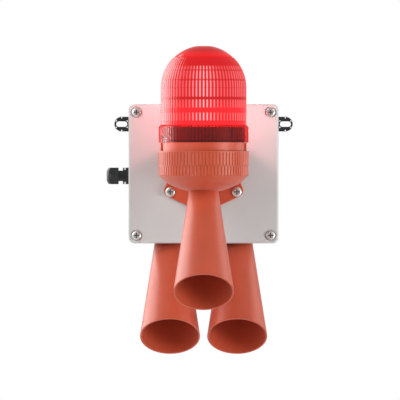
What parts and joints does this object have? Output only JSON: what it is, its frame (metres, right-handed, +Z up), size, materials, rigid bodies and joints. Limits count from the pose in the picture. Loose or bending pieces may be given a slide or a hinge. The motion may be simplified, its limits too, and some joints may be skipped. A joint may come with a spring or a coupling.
{
  "type": "led warning siren",
  "caption": "Wall-mounted warning siren: a grey cast box with a ribbed red LED beacon on a bracket and long straight cone horns pointing forwards and down.",
  "frame": {"origin": "centre of the box's back face, on the wall", "axes": "+Y into the wall, +Z up, +X to the viewer's right; the front faces -Y"},
  "size_m": [0.2198, 0.2697, 0.3599],
  "materials": {
    "enclosure_paint": "satin light grey powder coat",
    "siren_plastic": "satin moulded orange-red",
    "lens_red": "clear red polycarbonate",
    "black_plastic": "moulded black",
    "black_rubber": "moulded",
    "stainless": "plain stainless",
    "standoff_brass": "nickel over brass",
    "board_green": "solder mask",
    "led_white_board": "white solder mask",
    "led_chip": "lit",
    "bare_aluminium": "extruded",
    "terminal_green": "moulded",
    "capacitor_sleeve": "shrink sleeve",
    "relay_blue": "moulded",
    "magnet_iron": "dark coated",
    "basket_steel": "pressed steel",
    "cone_paper": "pressed film",
    "cap_white": "moulded"
  },
  "bodies": {
    "housing": {"enclosure_body": "enclosure_paint", "lid": "enclosure_paint", "horn_left": "siren_plastic", "horn_right": "siren_plastic", "horn_front": "siren_plastic", "base_bowl": "siren_plastic", "base_collar": "siren_plastic", "beacon_bracket": "siren_plastic", "lug_left": "black_plastic", "lug_right": "black_plastic", "gland_body": "black_plastic", "gland_locknut": "black_plastic", "horn_socket_left": "black_plastic", "horn_socket_right": "black_plastic", "driver_left": "black_plastic", "driver_right": "black_plastic", "lid_gasket": "black_rubber", "gland_washer": "black_rubber", "gland_seal": "black_rubber", "horn_grommet_left": "black_rubber", "horn_grommet_right": "black_rubber", "wire_grommet": "black_rubber", "seal_ring": "black_rubber", "lid_screws": "stainless", "bracket_screws": "stainless", "bracket_nuts": "stainless", "lug_screws": "stainless", "socket_screws": "stainless", "board_screws": "stainless", "base_screws": "stainless", "collar_screws": "stainless", "speaker_screws": "stainless", "board_standoffs": "standoff_brass", "control_board": "board_green", "led_base_board": "board_green", "led_strips": "led_white_board", "led_chips": "led_chip", "amplifier_heatsink": "bare_aluminium", "led_tower": "bare_aluminium", "terminal_block": "terminal_green", "capacitors": "capacitor_sleeve", "relay": "relay_blue", "driver_magnet_left": "magnet_iron", "driver_magnet_right": "magnet_iron", "speaker_magnet": "magnet_iron", "speaker_basket": "basket_steel", "speaker_cone": "cone_paper", "led_tower_cap": "cap_white"},
    "lens_cover": {"lens": "lens_red"},
    "gland_cap": {"gland_nut": "black_plastic"}
  },
  "joints": [
    {"name": "lens_twist", "type": "hinge", "parent": "housing", "child": "lens_cover", "pos_m": [0, -0.154, 0.045], "axis": [0, 0, 1], "range_deg": [0, 35]},
    {"name": "gland_nut_turn", "type": "hinge", "parent": "housing", "child": "gland_cap", "pos_m": [-0.1072, -0.045, -0.0023], "axis": [-1, 0, 0], "range_deg": [0, 360]}
  ]
}
